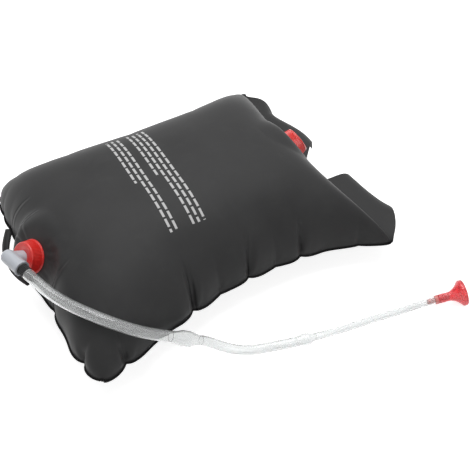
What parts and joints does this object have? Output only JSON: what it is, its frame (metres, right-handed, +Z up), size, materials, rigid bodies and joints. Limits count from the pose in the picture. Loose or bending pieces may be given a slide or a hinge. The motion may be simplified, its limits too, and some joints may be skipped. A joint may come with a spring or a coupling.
{
  "type": "camp shower bag",
  "caption": "Black flexible water bag lying filled on its flat side, with a screw-capped filler, a screwed outlet elbow, a clear hose with bulged joiners and a pull-open shower head.",
  "frame": {"origin": "on the flat patch that the bag rests on, under the middle of the bag between its ears", "axes": "+X along the bag from the outlet end to the filler end, +Y across the bag away from the hose, +Z up"},
  "size_m": [0.5181, 0.497, 0.148],
  "materials": {
    "black_pvc": "matte",
    "black_spout": "satin",
    "red_cap": "gloss",
    "white_rubber": "matte",
    "grey_elbow": "translucent",
    "black_tail": "satin",
    "clear_hose": "clear",
    "pale_stem": "translucent",
    "red_bell": "translucent"
  },
  "bodies": {
    "bag": {"upper_sheet": "black_pvc", "lower_sheet": "black_pvc", "outlet_strap": "black_pvc", "fill_neck": "black_spout", "outlet_neck": "black_spout", "outlet_washer": "white_rubber", "hose_1": "clear_hose", "joiner_1": "clear_hose", "hose_2": "clear_hose", "joiner_2": "clear_hose", "hose_3": "clear_hose", "head_stem": "pale_stem", "head_seal": "white_rubber"},
    "cap_gasket": {"fill_gasket": "white_rubber"},
    "cap": {"fill_cap": "red_cap"},
    "nut_ring": {"slip_ring": "white_rubber"},
    "nut": {"outlet_nut": "red_cap"},
    "elbow": {"outlet_elbow": "grey_elbow", "hose_adapter": "black_tail", "adapter_seal": "white_rubber"},
    "bell": {"head_bell": "red_bell", "head_rose": "red_bell"}
  },
  "joints": [
    {"name": "fill_cap_lift", "type": "slide", "parent": "bag", "child": "cap_gasket", "axis": [0.891, 0, 0.454], "range_m": [0, 0.0121]},
    {"name": "fill_cap_turn", "type": "hinge", "parent": "cap_gasket", "child": "cap", "pos_m": [0.17042, 0, 0.10151], "axis": [0.891, 0, 0.454], "range_deg": [0, 1080]},
    {"name": "outlet_nut_lift", "type": "slide", "parent": "bag", "child": "nut_ring", "axis": [-0.8008, -0.2146, 0.5592], "range_m": [0, 0.0051]},
    {"name": "outlet_nut_turn", "type": "hinge", "parent": "nut_ring", "child": "nut", "pos_m": [-0.22119, 0.00017, 0.08757], "axis": [-0.8008, -0.2146, 0.5592], "range_deg": [0, 450]},
    {"name": "elbow_swivel", "type": "hinge", "parent": "bag", "child": "elbow", "pos_m": [-0.22119, 0.00017, 0.08757], "axis": [-0.8008, -0.2146, 0.5592], "range_deg": [-30, 30], "deforming": ["hose_1"]},
    {"name": "head_pull", "type": "slide", "parent": "bag", "child": "bell", "axis": [0.9021, -0.3709, 0.2205], "range_m": [0, 0.006]}
  ],
  "couplings": [
    {"joint": "fill_cap_lift", "follows": "fill_cap_turn", "m_per_rad": 0.00063662},
    {"joint": "outlet_nut_lift", "follows": "outlet_nut_turn", "m_per_rad": 0.00063662}
  ]
}
